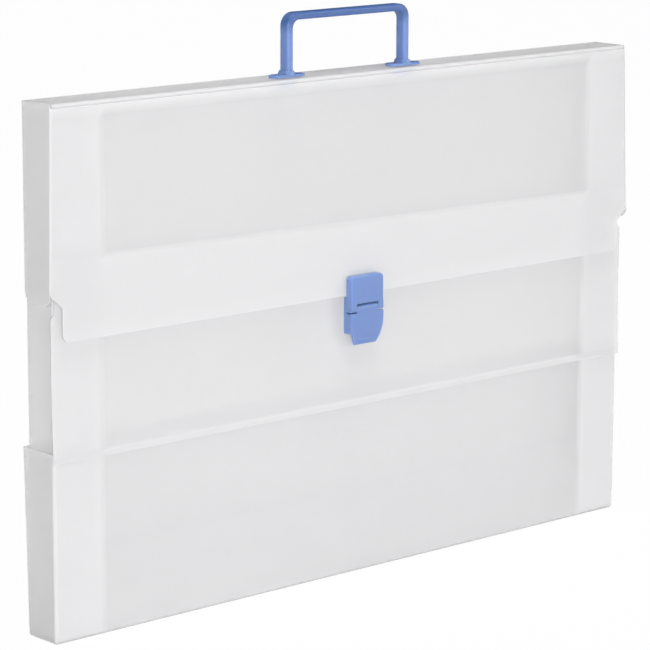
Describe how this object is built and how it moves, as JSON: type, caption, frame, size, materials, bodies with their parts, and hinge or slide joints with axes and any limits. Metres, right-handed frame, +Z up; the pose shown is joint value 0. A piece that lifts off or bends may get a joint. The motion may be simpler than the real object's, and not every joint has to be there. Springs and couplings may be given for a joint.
{
  "type": "plastic document case",
  "caption": "Slim carrying case of frosted plastic sheet with a hinged lid and flap, a turning clasp and a sliding bail handle, for drawings and large papers.",
  "frame": {"origin": "on the ground under the middle of the tray's width, about the middle of its depth", "axes": "+Z up, +X to the right seen from the front, and -Y towards the front, where the flap and the clasp are"},
  "size_m": [0.5236, 0.0424, 0.386],
  "materials": {
    "frosted_sheet": "frosted see-through polypropylene sheet with a fine matt grain",
    "blue_handle": "mid blue moulded plastic with a soft sheen",
    "light_blue_clasp": "light blue moulded plastic with a soft sheen"
  },
  "bodies": {
    "case": {"tray": "frosted_sheet", "back_shell": "frosted_sheet", "middle_panel": "frosted_sheet", "clasp_catch": "light_blue_clasp", "catch_backing": "light_blue_clasp"},
    "lid": {"top_panel": "frosted_sheet", "handle_plate_left": "blue_handle", "handle_plate_right": "blue_handle", "handle_backing_left": "blue_handle", "handle_backing_right": "blue_handle"},
    "bail": {"handle": "blue_handle"},
    "flap": {"front_flap": "frosted_sheet", "clasp_base": "light_blue_clasp", "clasp_backing": "light_blue_clasp", "clasp_pin": "light_blue_clasp"},
    "tongue": {"clasp_tongue": "light_blue_clasp"}
  },
  "joints": [
    {"name": "lid_crease", "type": "hinge", "parent": "case", "child": "lid", "pos_m": [0, 0.0135, 0.343], "axis": [-1, 0, 0], "range_deg": [0, 180]},
    {"name": "flap_crease", "type": "hinge", "parent": "lid", "child": "flap", "pos_m": [0, -0.017, 0.344], "axis": [-1, 0, 0], "range_deg": [0, 90]},
    {"name": "tongue_turn", "type": "hinge", "parent": "flap", "child": "tongue", "pos_m": [0, -0.022, 0.1861], "axis": [-1, 0, 0], "range_deg": [0, 100]},
    {"name": "handle_slide", "type": "slide", "parent": "lid", "child": "bail", "axis": [0, 0, 1], "range_m": [-0.026, 0]}
  ]
}
